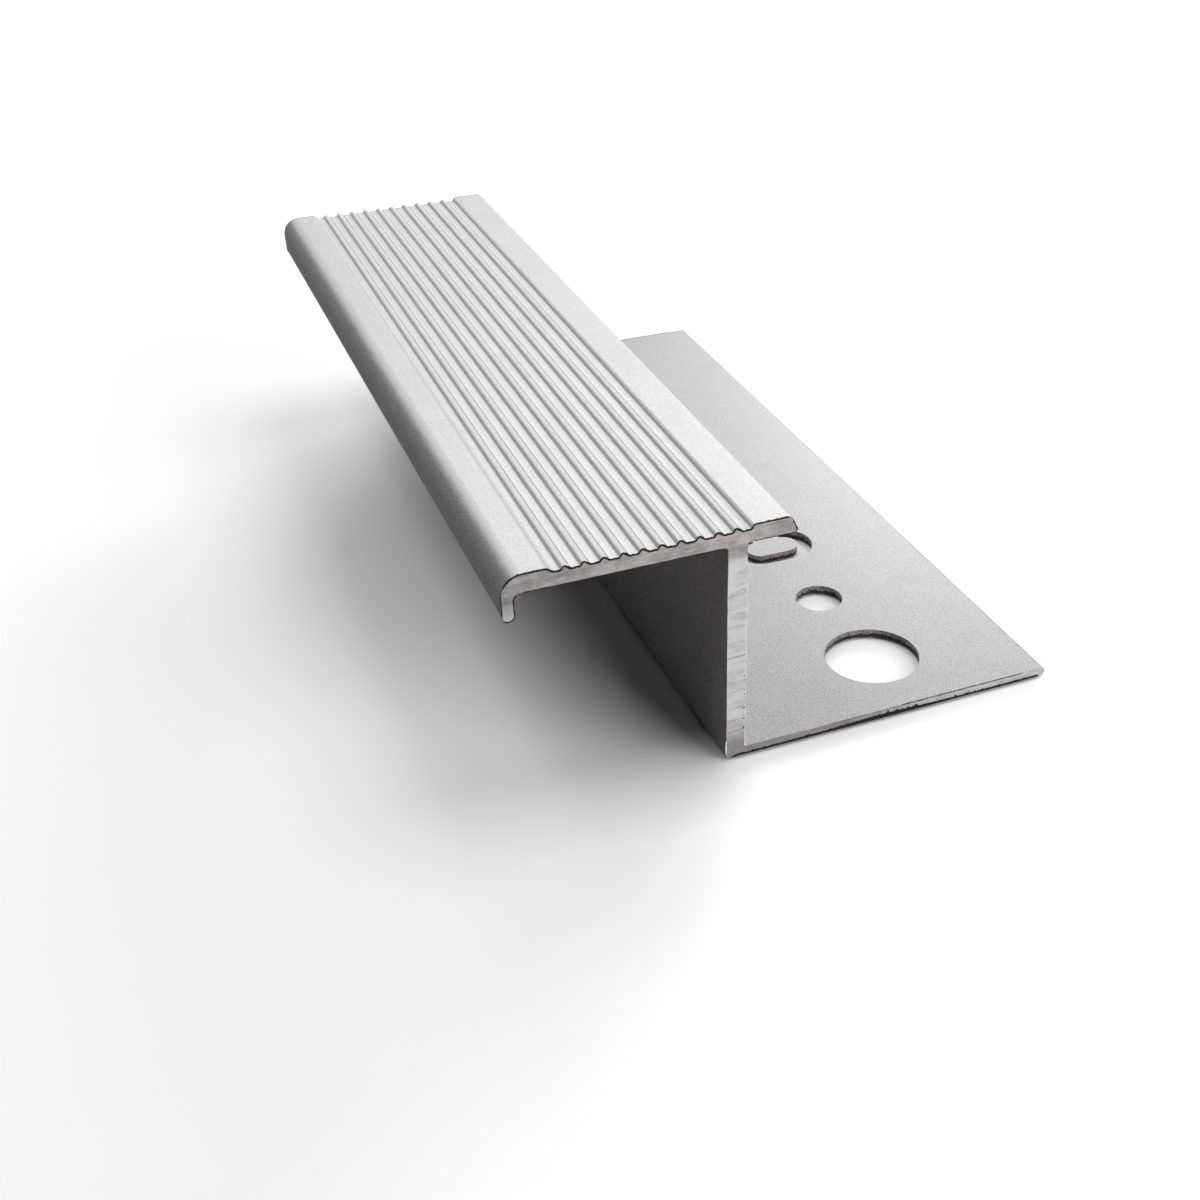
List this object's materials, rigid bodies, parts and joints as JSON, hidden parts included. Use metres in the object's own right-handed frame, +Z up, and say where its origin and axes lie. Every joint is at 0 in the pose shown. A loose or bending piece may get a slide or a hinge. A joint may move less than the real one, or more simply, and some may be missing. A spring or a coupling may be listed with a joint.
{
  "type": "stair nosing",
  "caption": "Extruded aluminium stair nosing with a ribbed tread, a rounded nose with a hanging lip, a web and a perforated anchoring flange.",
  "frame": {"origin": "middle of the box's underside, on the floor that the flange lies on", "axes": "+X from the nose to the free edge of the flange, +Y along the length, +Z up through the tread"},
  "size_m": [0.0484, 0.0834, 0.0215],
  "materials": {
    "anodised_aluminium": "satin"
  },
  "bodies": {
    "root": {"nosing": "anodised_aluminium"}
  },
  "joints": []
}
